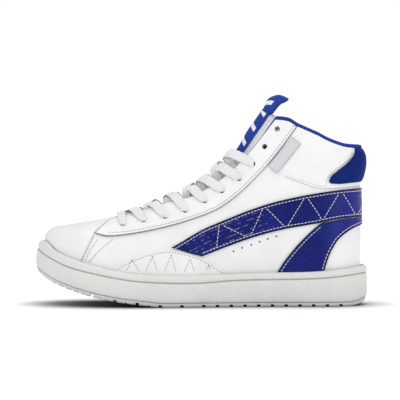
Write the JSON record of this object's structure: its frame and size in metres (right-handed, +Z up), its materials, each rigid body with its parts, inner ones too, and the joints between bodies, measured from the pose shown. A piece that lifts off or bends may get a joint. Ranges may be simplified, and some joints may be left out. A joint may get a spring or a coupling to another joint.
{
  "type": "basketball high top",
  "caption": "White leather lace-up high top shoe with blue embossed side stripe, padded collar, tongue with pull loop, and cup sole.",
  "frame": {"origin": "centre of the shoe's bounding box at the ground, free lace ends left out", "axes": "+X from toe to heel, +Y to the medial side, +Z up; the lateral side faces -Y"},
  "size_m": [0.2949, 0.1086, 0.1862],
  "materials": {
    "white_leather": "smooth coated white leather, fine grain, semi-matt",
    "gloss_blue": "glossy royal blue coated leather embossed with rectangular scales",
    "sole_rubber": "moulded off-white rubber with a stippled side wall",
    "foam": "open cell foam",
    "fibre_board": "stitched fibre insole board",
    "stiffener": "thermoplastic stiffener sheet",
    "white_textile": "white woven lining",
    "blue_textile": "royal blue textile",
    "blue_rib": "royal blue ribbed knit",
    "blue_webbing": "royal blue woven webbing",
    "label_grey": "light grey woven label",
    "lace_white": "white flat woven lace",
    "aglet_clear": "clear film aglet"
  },
  "bodies": {
    "shell": {"outsole_tread": "sole_rubber", "cupsole": "sole_rubber", "midsole_wedge": "foam", "insole_board": "fibre_board", "sockliner": "white_textile", "vamp": "white_leather", "toe_puff": "stiffener", "vamp_lining": "white_textile", "quarter_lateral": "white_leather", "eyelet_facing_lateral": "white_textile", "eyestay_lateral": "white_leather", "quarter_medial": "white_leather", "eyelet_facing_medial": "white_textile", "eyestay_medial": "white_leather", "forefoot_patch_lateral": "white_leather", "side_stripe_lateral": "gloss_blue", "leg_overlay_lateral": "gloss_blue", "collar_panel_lateral": "white_leather", "forefoot_patch_medial": "white_leather", "side_stripe_medial": "gloss_blue", "leg_overlay_medial": "gloss_blue", "collar_panel_medial": "white_leather", "heel_collar_panel": "blue_textile", "heel_counter": "stiffener", "quarter_lining": "white_textile", "collar_foam": "foam", "collar_lining": "blue_rib", "collar_binding": "blue_rib", "lace": "lace_white", "lace_tail_lateral": "lace_white", "aglet_lateral": "aglet_clear", "lace_tail_medial": "lace_white", "aglet_medial": "aglet_clear"},
    "tongue": {"tongue_face": "white_leather", "tongue_foam": "foam", "tongue_lining": "white_textile", "pull_strap": "blue_webbing"},
    "loop": {"pull_loop": "blue_webbing"},
    "label": {"flag_label": "label_grey"}
  },
  "joints": [
    {"name": "tongue_hinge", "type": "hinge", "parent": "shell", "child": "tongue", "pos_m": [-0.0755, 0, 0.07], "axis": [0, 1, 0], "range_deg": [0, 5], "stiffness_Nm_per_rad": 0.6},
    {"name": "pull_loop_hinge", "type": "hinge", "parent": "tongue", "child": "loop", "pos_m": [0.059, 0, 0.1695], "axis": [0, 1, 0], "range_deg": [-10, 12], "stiffness_Nm_per_rad": 0.01},
    {"name": "flag_label_hinge", "type": "hinge", "parent": "shell", "child": "label", "pos_m": [0.05859, -0.02934, 0.12277], "axis": [-0.6237, 0.0092, -0.7816], "range_deg": [0, 90], "stiffness_Nm_per_rad": 0.002}
  ]
}
